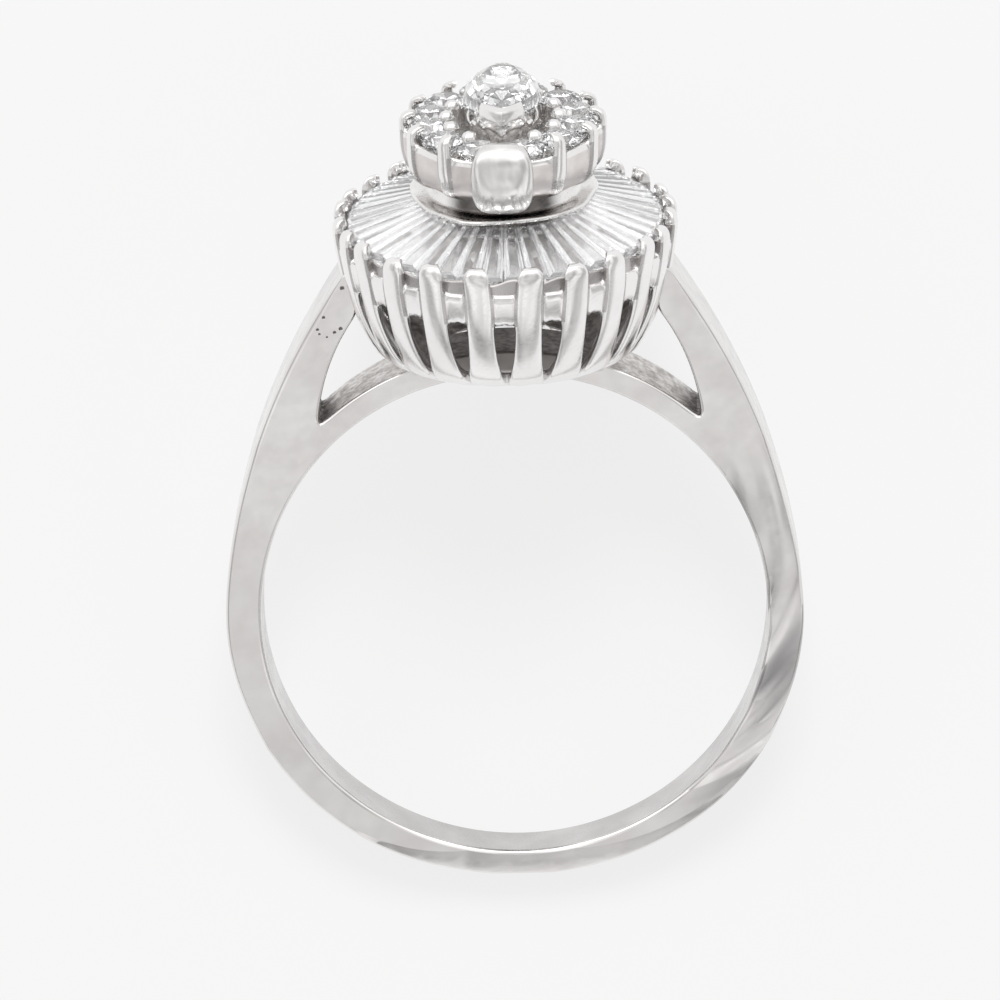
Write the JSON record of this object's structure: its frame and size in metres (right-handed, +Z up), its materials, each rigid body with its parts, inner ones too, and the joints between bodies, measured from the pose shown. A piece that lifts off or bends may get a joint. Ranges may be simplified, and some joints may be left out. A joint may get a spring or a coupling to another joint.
{
  "type": "cluster ring",
  "caption": "Two-tier oval cluster ring with a tapering shank, a ribbed skirt of tapered stones, and a raised crown of round stones about a pointed oval stone.",
  "frame": {"origin": "centre of the ring's bounding box on the surface that it rests on, with the ring lying on its side", "axes": "+X across the finger, +Y from the shank's base towards the stones, +Z up from the surface that the ring rests on"},
  "size_m": [0.02, 0.0282, 0.0141],
  "materials": {
    "white_gold": "polished white metal with fine wear",
    "diamond": "clear cut stone"
  },
  "bodies": {
    "root": {"setting": "white_gold", "tapered_stones": "diamond", "marquise_stone": "diamond", "round_stone_1": "diamond", "round_stone_2": "diamond", "round_stone_3": "diamond", "round_stone_4": "diamond", "round_stone_5": "diamond", "round_stone_6": "diamond", "round_stone_7": "diamond", "round_stone_8": "diamond", "round_stone_9": "diamond", "round_stone_10": "diamond", "round_stone_11": "diamond", "round_stone_12": "diamond"}
  },
  "joints": []
}
